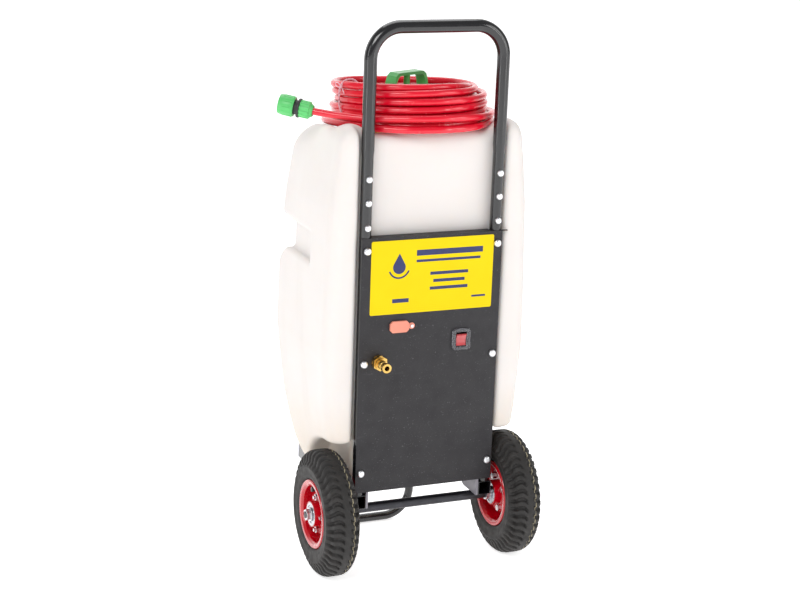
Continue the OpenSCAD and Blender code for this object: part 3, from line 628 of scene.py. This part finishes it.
def drop(x, w, radius):
    """A water drop: a circle drawn up to a point."""
    point = (x, w + 2.1 * radius)
    turns = [math.radians(150 + 240 * k / 24) for k in range(25)]
    round_part = [(x + radius * math.cos(t), w + radius * math.sin(t)) for t in turns]
    return [point] + round_part


def ring_sector(x, w, inner, outer, start, end):
    turns = [math.radians(start + (end - start) * k / 12) for k in range(13)]
    out = [(x + outer * math.cos(t), w + outer * math.sin(t)) for t in turns]
    back = [(x + inner * math.cos(t), w + inner * math.sin(t)) for t in reversed(turns)]
    return out + back


# Plain marks in place of print, placed from the label's middle.
LABEL_MARKS = [
    drop(-61, 17, 11.5),
    ring_sector(-61, 17, 17, 20, 200, 340),
    bar(31, 40, 122, 10),
    bar(29, 26, 118, 4.5),
    bar(31, 3, 70, 5.5),
    bar(31, -10, 58, 5.5),
    bar(31, -23, 70, 5.5),
    bar(-57, -41, 30, 7),
    bar(87, -42, 26, 3.5),
]


def make_marks():
    points = []
    faces = []
    for outline in LABEL_MARKS:
        first = len(points)
        count = len(outline)
        for v in (LABEL_FACE_V + MARK_BURIED, LABEL_FACE_V - MARK_THICK):
            for x, w in outline:
                points.append(leaning(LABEL_MIDDLE[0] + x, v, LABEL_MIDDLE[1] + w))
        faces.append([first + count + k for k in range(count)])
        faces.append([first + k for k in reversed(range(count))])
        for k in range(count):
            n = (k + 1) % count
            faces.append([first + k, first + n, first + count + n, first + count + k])
    marks = mesh_object("label_marks", points, faces, smooth=False)
    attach(marks, "chassis")
    return marks


marks = make_marks()


# ---------------------------------------------------------------- materials

def linear(code, share=1.0):
    """A colour written as six hex digits, in the renderer's linear units."""
    parts = [int(code[n:n + 2], 16) / 255 for n in (0, 2, 4)]
    parts = [p / 12.92 if p <= 0.04045 else ((p + 0.055) / 1.055) ** 2.4 for p in parts]
    return tuple(min(p * share, 1.0) for p in parts) + (1.0,)


class Paint:
    """Builds one node material on a principled shader."""

    def __init__(self, name, **settings):
        self.material = bpy.data.materials.new(name)
        self.material.use_nodes = True
        self.tree = self.material.node_tree
        self.shader = self.tree.nodes["Principled BSDF"]
        self.where = self.node("ShaderNodeTexCoord").outputs["Object"]
        self.bumps = None
        for key, value in settings.items():
            self.shader.inputs[key.replace("_", " ")].default_value = value

    def node(self, kind, **settings):
        made = self.tree.nodes.new(kind)
        for key, value in settings.items():
            if key in made.inputs:
                made.inputs[key].default_value = value
            else:
                setattr(made, key, value)
        return made

    def join(self, source, target):
        self.tree.links.new(source, target)

    def stretched(self, scale):
        mapping = self.node("ShaderNodeMapping")
        mapping.inputs["Scale"].default_value = scale
        self.join(self.where, mapping.inputs["Vector"])
        return mapping.outputs["Vector"]

    def noise(self, scale, detail=3.0, stretch=None):
        noise = self.node("ShaderNodeTexNoise", Scale=scale, Detail=detail)
        self.join(self.stretched(stretch) if stretch else self.where, noise.inputs["Vector"])
        return noise.outputs["Fac"]

    def ramp(self, source, low, high, start=0.0, end=1.0):
        """Maps source between low and high to start…end."""
        span = self.node("ShaderNodeMapRange")
        span.inputs["From Min"].default_value = low
        span.inputs["From Max"].default_value = high
        span.inputs["To Min"].default_value = start
        span.inputs["To Max"].default_value = end
        self.join(source, span.inputs["Value"])
        return span.outputs["Result"]

    def place(self, axis):
        """The place along X, Y or Z, in metres."""
        split = self.node("ShaderNodeSeparateXYZ")
        self.join(self.where, split.inputs["Vector"])
        return split.outputs[axis]

    def mix(self, share, first, second):
        """A colour between two; each is a colour or another node's output."""
        mix = self.node("ShaderNodeMix", data_type="RGBA")
        for value, slot_name in ((first, "A"), (second, "B")):
            socket = [s for s in mix.inputs if s.name == slot_name and s.type == "RGBA"][0]
            if isinstance(value, tuple):
                socket.default_value = value
            else:
                self.join(value, socket)
        self.join(share, mix.inputs["Factor"])
        return [s for s in mix.outputs if s.type == "RGBA"][0]

    def colour(self, output):
        self.join(output, self.shader.inputs["Base Color"])

    def roughness(self, source, low, high):
        self.join(self.ramp(source, 0.3, 0.7, low, high), self.shader.inputs["Roughness"])

    def bump(self, source, strength, distance=0.001):
        bump = self.node("ShaderNodeBump")
        bump.inputs["Strength"].default_value = strength
        bump.inputs["Distance"].default_value = distance
        self.join(source, bump.inputs["Height"])
        if self.bumps:
            self.join(self.bumps, bump.inputs["Normal"])
        self.bumps = bump.outputs["Normal"]
        self.join(self.bumps, self.shader.inputs["Normal"])


def powder_coat(name, code, rough=0.3, grain=700.0, coat=0.0):
    paint = Paint(name, Coat_Weight=coat, Coat_Roughness=0.12)
    dust = paint.ramp(paint.noise(2200.0, 2.0), 0.66, 0.74, 0.0, 0.35)
    shade = paint.mix(paint.noise(14.0), linear(code, 0.82), linear(code, 1.15))
    paint.colour(paint.mix(dust, shade, linear(code, 1.6)))
    paint.roughness(paint.noise(30.0), rough - 0.06, rough + 0.1)
    paint.bump(paint.noise(grain, 2.0), 0.05, 0.0003)
    return paint.material


def plated(name, code, rough=0.28, stretch=(400.0, 400.0, 40.0)):
    paint = Paint(name, Metallic=1.0)
    paint.colour(paint.mix(paint.noise(60.0), linear(code, 0.8), linear(code, 1.1)))
    paint.roughness(paint.noise(160.0), rough - 0.08, rough + 0.12)
    paint.bump(paint.noise(1.0, 2.0, stretch), 0.05, 0.0001)
    return paint.material


def plastic(name, code, rough=0.4, grain=900.0, strength=0.1, dark=0.88, light=1.06, **extra):
    paint = Paint(name, **extra)
    paint.colour(paint.mix(paint.noise(25.0), linear(code, dark), linear(code, light)))
    paint.roughness(paint.noise(70.0), rough - 0.06, rough + 0.08)
    paint.bump(paint.noise(grain, 3.0), strength, 0.0004)
    return paint.material


def panel_paint():
    """Grainy dark paint with light specks and upright scuffs."""
    paint = Paint("panel_paint")
    code = "1D1B1F"
    grain = paint.noise(1500.0, 2.0)
    specks = paint.ramp(paint.noise(620.0, 2.0), 0.69, 0.74, 0.0, 0.5)
    scuffs = paint.ramp(paint.noise(9.0, 6.0, (1.0, 1.0, 6.0)), 0.66, 0.74, 0.0, 0.22)
    shade = paint.mix(grain, linear(code, 0.72), linear(code, 1.35))
    shade = paint.mix(specks, shade, linear("8A878C"))
    paint.colour(paint.mix(scuffs, shade, linear("6A676C")))
    paint.roughness(paint.noise(40.0), 0.46, 0.62)
    paint.bump(grain, 0.35, 0.0004)
    return paint.material


def tank_plastic():
    """Milky plastic with a painted tan shade low down, and faint upright streaks."""
    paint = Paint("tank_pe", Subsurface_Weight=0.25, Subsurface_Scale=0.01)
    paint.shader.inputs["Subsurface Radius"].default_value = (1.0, 0.7, 0.5)
    mottle = paint.noise(7.0, 4.0)
    shade = paint.mix(mottle, linear("DFD9D5"), linear("E6E1DE"))
    # Painted shade: the colour is mixed towards tan near the tank's bottom, where shade falls under it.
    low = paint.ramp(paint.place("Z"), 0.12, 0.32, 0.7, 0.0)
    shade = paint.mix(low, shade, linear("D8C4A8"))
    streaks = paint.ramp(paint.noise(5.0, 5.0, (3.0, 3.0, 0.35)), 0.60, 0.78, 0.0, 0.25)
    paint.colour(paint.mix(streaks, shade, linear("D2CAC2")))
    paint.roughness(paint.noise(18.0), 0.36, 0.50)
    paint.bump(paint.noise(260.0, 3.0), 0.10, 0.0006)
    paint.bump(paint.noise(12.0, 2.0), 0.10, 0.004)
    return paint.material


def tyre_rubber(side):
    """Dark rubber with a pale line round the tread, on the side towards +X."""
    line_off = {"left": 12.0, "right": 10.0}[side]
    line_half = 0.7
    paint = Paint(f"tyre_rubber_{side}")
    dust = paint.ramp(paint.noise(35.0, 5.0), 0.45, 0.75, 0.0, 0.5)
    shade = paint.mix(dust, linear("232120"), linear("3A3634"))
    middle = joints[f"wheel_{side}_spin"]["pos_m"][0]
    compare = paint.node("ShaderNodeMath", operation="COMPARE")
    paint.join(paint.place("X"), compare.inputs[0])
    compare.inputs[1].default_value = middle + line_off * MM
    compare.inputs[2].default_value = line_half * MM
    faded = paint.node("ShaderNodeMath", operation="MULTIPLY")
    paint.join(compare.outputs[0], faded.inputs[0])
    paint.join(paint.ramp(paint.noise(120.0, 3.0), 0.35, 0.55, 0.25, 0.8), faded.inputs[1])
    paint.colour(paint.mix(faded.outputs[0], shade, linear("B9AE8E")))
    paint.roughness(paint.noise(90.0), 0.55, 0.75)
    paint.bump(paint.noise(500.0, 3.0), 0.25, 0.0005)
    return paint.material


def machined_brass():
    paint = Paint("brass", Metallic=1.0)
    paint.colour(paint.mix(paint.noise(55.0, 4.0), linear("C9A04E"), linear("EBC87C")))
    paint.roughness(paint.noise(140.0), 0.20, 0.36)
    paint.bump(paint.noise(1.0, 2.0, (60.0, 900.0, 60.0)), 0.08, 0.0001)
    return paint.material


def label_vinyl():
    """Yellow film over a fine pattern of dots."""
    paint = Paint("label_vinyl", Specular_IOR_Level=0.15)
    dots = paint.node("ShaderNodeTexVoronoi", Scale=260.0, Randomness=0.0)
    paint.join(paint.stretched((1.0, 0.15, 1.0)), dots.inputs["Vector"])
    print_dots = paint.ramp(dots.outputs["Distance"], 0.18, 0.32, 0.55, 0.0)
    shade = paint.mix(paint.noise(20.0), linear("E6C800"), linear("ECD004"))
    paint.colour(paint.mix(print_dots, shade, linear("C2A200")))
    paint.roughness(paint.noise(50.0), 0.28, 0.42)
    paint.bump(paint.noise(40.0, 2.0), 0.1, 0.0006)
    return paint.material


def lid_handle_plastic():
    """Light green legs under a strap darkened by painted shade."""
    paint = Paint("handle_green", Coat_Weight=0.25, Coat_Roughness=0.2)
    low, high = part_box("lid_handle")
    # Painted shade: the top part of the handle, the strap, gets the darker green.
    painted_shade_top = paint.ramp(paint.place("Z"), high.z - 12 * MM, high.z - 6 * MM, 0.0, 1.0)
    legs = paint.mix(paint.noise(40.0), linear("55BE63"), linear("6BD079"))
    strap = paint.mix(paint.noise(40.0), linear("3E9A4A"), linear("4FB05B"))
    paint.colour(paint.mix(painted_shade_top, legs, strap))
    paint.roughness(paint.noise(70.0), 0.30, 0.42)
    paint.bump(paint.noise(400.0, 3.0), 0.08, 0.0004)
    return paint.material


def rocker_plastic():
    paint = Paint("rocker_red", Transmission_Weight=0.2, IOR=1.49, Coat_Weight=0.6)
    paint.colour(paint.mix(paint.noise(90.0), linear("C43A40"), linear("E0686A")))
    paint.roughness(paint.noise(120.0), 0.12, 0.24)
    paint.bump(paint.noise(220.0, 2.0), 0.06, 0.0003)
    return paint.material


def label_print():
    paint = Paint("label_print")
    paint.colour(paint.mix(paint.noise(90.0), linear("1B2350"), linear("26306A")))
    paint.roughness(paint.noise(50.0), 0.30, 0.45)
    paint.bump(paint.noise(300.0, 2.0), 0.05, 0.0003)
    return paint.material


SLOT_MATERIALS = {
    "frame_paint": powder_coat("frame_paint", "121215", 0.16, 420.0, coat=0.6),
    "bracket_paint": powder_coat("bracket_paint", "8B8890", 0.42),
    "axle_steel": plated("axle_steel", "4A4A4E", 0.38),
    "zinc": plated("zinc", "E6E7EA", 0.30),
    "cap_plastic": plastic("cap_plastic", "A9A7B4", 0.38),
    "panel_paint": panel_paint(),
    "label_vinyl": label_vinyl(),
    "socket_black": plastic("socket_black", "1B1B1D", 0.42, 1200.0, 0.2),
    "cap_rubber": plastic("cap_rubber", "E8917B", 0.52, 800.0, 0.15),
    "rocker_red": rocker_plastic(),
    "hood_grey": plastic("hood_grey", "B4B4BA", 0.10, Transmission_Weight=0.85, IOR=1.45),
    "brass": machined_brass(),
    "tank_pe": tank_plastic(),
    "lid_green": plastic("lid_green", "3E9247", 0.36, 500.0, 0.12),
    "handle_green": lid_handle_plastic(),
    "seal_rubber": plastic("seal_rubber", "2A2A2A", 0.6, 600.0, 0.2),
    "fitting_black": plastic("fitting_black", "1C1C1E", 0.38, 900.0, 0.15),
    "clear_hose": plastic("clear_hose", "D8D8DC", 0.22, Transmission_Weight=0.4, IOR=1.4),
    "pump_black": powder_coat("pump_black", "222226", 0.4, 300.0),
    "motor_grey": powder_coat("motor_grey", "5A5B60", 0.35),
    "battery_case": plastic("battery_case", "2F3136", 0.45, 1100.0, 0.25),
    "tray_paint": powder_coat("tray_paint", "6B6970", 0.45),
    "wire_red": plastic("wire_red", "B02020", 0.4),
    "hose_red": plastic("hose_red", "E4082A", 0.20, 90.0, 0.05, Coat_Weight=0.3,
                        Coat_Roughness=0.08),
    "connector_green": plastic("connector_green", "5CC86E", 0.34, 600.0, 0.1),
    "connector_black": plastic("connector_black", "2C2C2E", 0.5, 900.0, 0.2),
    "tie_pink": plastic("tie_pink", "F0B6C2", 0.35, 900.0, 0.2, 0.8, 1.25),
    "tyre_rubber": tyre_rubber("left"),
    "tube_rubber": plastic("tube_rubber", "1E1E1E", 0.6, 700.0, 0.2),
    "rim_red": powder_coat("rim_red", "C00018", 0.2, 260.0, coat=0.8),
    "bearing_steel": plated("bearing_steel", "C4C6CB", 0.22, (300.0, 30.0, 30.0)),
}
RIGHT_TYRE = tyre_rubber("right")
PRINT = label_print()


def finish_in(obj, material):
    obj.data.materials.clear()
    obj.data.materials.append(material)


slot_of = {part["node"]: part["material_slot"] for part in frame["record"]["subparts"]}
for name, node in frame["nodes"].items():
    finish_in(node, SLOT_MATERIALS[slot_of[name]])
finish_in(hose, SLOT_MATERIALS["hose_red"])
finish_in(tank, SLOT_MATERIALS["tank_pe"])
finish_in(tyres["left"], SLOT_MATERIALS["tyre_rubber"])
finish_in(tyres["right"], RIGHT_TYRE)
finish_in(marks, PRINT)
for piece in tie_pieces:
    finish_in(piece, SLOT_MATERIALS["tie_pink"])


# ---------------------------------------------------------------- softened edges

# Width of the rounding on each node's edges.
EDGE_SOFTNESS = {
    "cover_panel": 0.4, "label_plate": 0.15, "charge_cap": 1.0, "switch_body": 0.6,
    "switch_rocker": 0.5, "switch_hood": 1.0, "outlet_fitting": 0.5, "outlet_locknut": 0.5,
    "lid_handle": 1.6, "tank_lid": 1.0, "axle_nuts": 0.6, "axle_washers": 0.3,
    "rail_left": 1.4, "rail_right": 1.4, "front_crossbar": 1.4, "rail_end_caps": 1.0,
    "axle_brackets": 0.5, "battery": 3.0, "battery_tray": 0.6, "pump_head": 1.5,
    "connector_body": 0.6, "connector_sleeve": 0.5, "connector_nut": 0.7,
    "hose_inner_fitting": 0.5, "rim_bolts_left": 0.5, "rim_bolts_right": 0.5,
    "rim_outer_left": 0.4, "rim_outer_right": 0.4, "rim_inner_left": 0.4,
    "rim_inner_right": 0.4, "valve_cap_left": 0.8, "valve_cap_right": 0.8,
    "charge_socket": 0.5, "cap_screw": 0.4,
}


def soften(node, width):
    """Welds the CAD's split faces, then rounds their edges."""
    weld = node.modifiers.new("weld", "WELD")
    weld.merge_threshold = 0.002 * MM
    bevel = node.modifiers.new("bevel", "BEVEL")
    bevel.width = width * MM
    bevel.segments = 3
    bevel.limit_method = "ANGLE"
    bevel.angle_limit = math.radians(32)
    bevel.use_clamp_overlap = True
    bevel.harden_normals = True


for name, width in EDGE_SOFTNESS.items():
    soften(frame["nodes"][name], width)


# ---------------------------------------------------------------- studio

def backdrop_paint():
    paint = Paint("backdrop", Roughness=0.9, Emission_Strength=0.68)
    paint.shader.inputs["Emission Color"].default_value = (1.0, 1.0, 1.0, 1.0)
    paint.colour(paint.mix(paint.noise(0.8), linear("F4F4F5"), linear("F8F8F8")))
    paint.roughness(paint.noise(2.0), 0.85, 0.95)
    return paint.material


def make_backdrop():
    """A floor that sweeps up into a wall, far behind the cart."""
    half = 12.0
    front_y = -10.0
    wall_y = 8.0
    wall_top = 9.0
    sweep = 3.0
    steps = 12
    profile = [(front_y, 0.0)]
    for k in range(steps + 1):
        turn = math.radians(90 * k / steps)
        profile.append((wall_y - sweep + sweep * math.sin(turn), sweep * (1 - math.cos(turn))))
    profile.append((wall_y, wall_top))
    points = [(x, y, z) for y, z in profile for x in (-half, half)]
    faces = [(2 * k, 2 * k + 1, 2 * k + 3, 2 * k + 2) for k in range(len(profile) - 1)]
    floor = mesh_object("floor", points, faces)
    finish_in(floor, backdrop_paint())
    return floor


def soft_light(name, place, target, size, power):
    data = bpy.data.lights.new(name, "AREA")
    data.shape = "RECTANGLE"
    data.size, data.size_y = size
    data.energy = power
    light = link(bpy.data.objects.new(name, data))
    light.location = place
    light.rotation_mode = "QUATERNION"
    light.rotation_quaternion = (Vector(target) - Vector(place)).to_track_quat("-Z", "Y")
    return light


def make_world(strength):
    world = bpy.data.worlds.new("studio")
    world.use_nodes = True
    background = world.node_tree.nodes["Background"]
    background.inputs["Color"].default_value = (1.0, 1.0, 1.0, 1.0)
    background.inputs["Strength"].default_value = strength
    bpy.context.scene.world = world


floor = make_backdrop()
make_world(0.33)
bpy.context.scene.view_settings.view_transform = "Standard"
lights = [
    soft_light("key", (-2.4, -3.0, 3.0), (0, 0, 0.5), (2.0, 1.6), 70),
    soft_light("fill", (3.0, -2.4, 1.6), (0, 0, 0.5), (1.2, 2.4), 26),
    soft_light("strip_left", (-3.3, -1.2, 0.9), (0, 0, 0.6), (0.22, 2.4), 14),
    soft_light("strip_right", (2.0, -2.9, 0.9), (0, 0, 0.6), (0.22, 2.4), 14),
    soft_light("top", (0.3, 0.8, 3.4), (0, 0, 0.6), (2.2, 2.2), 34),
]
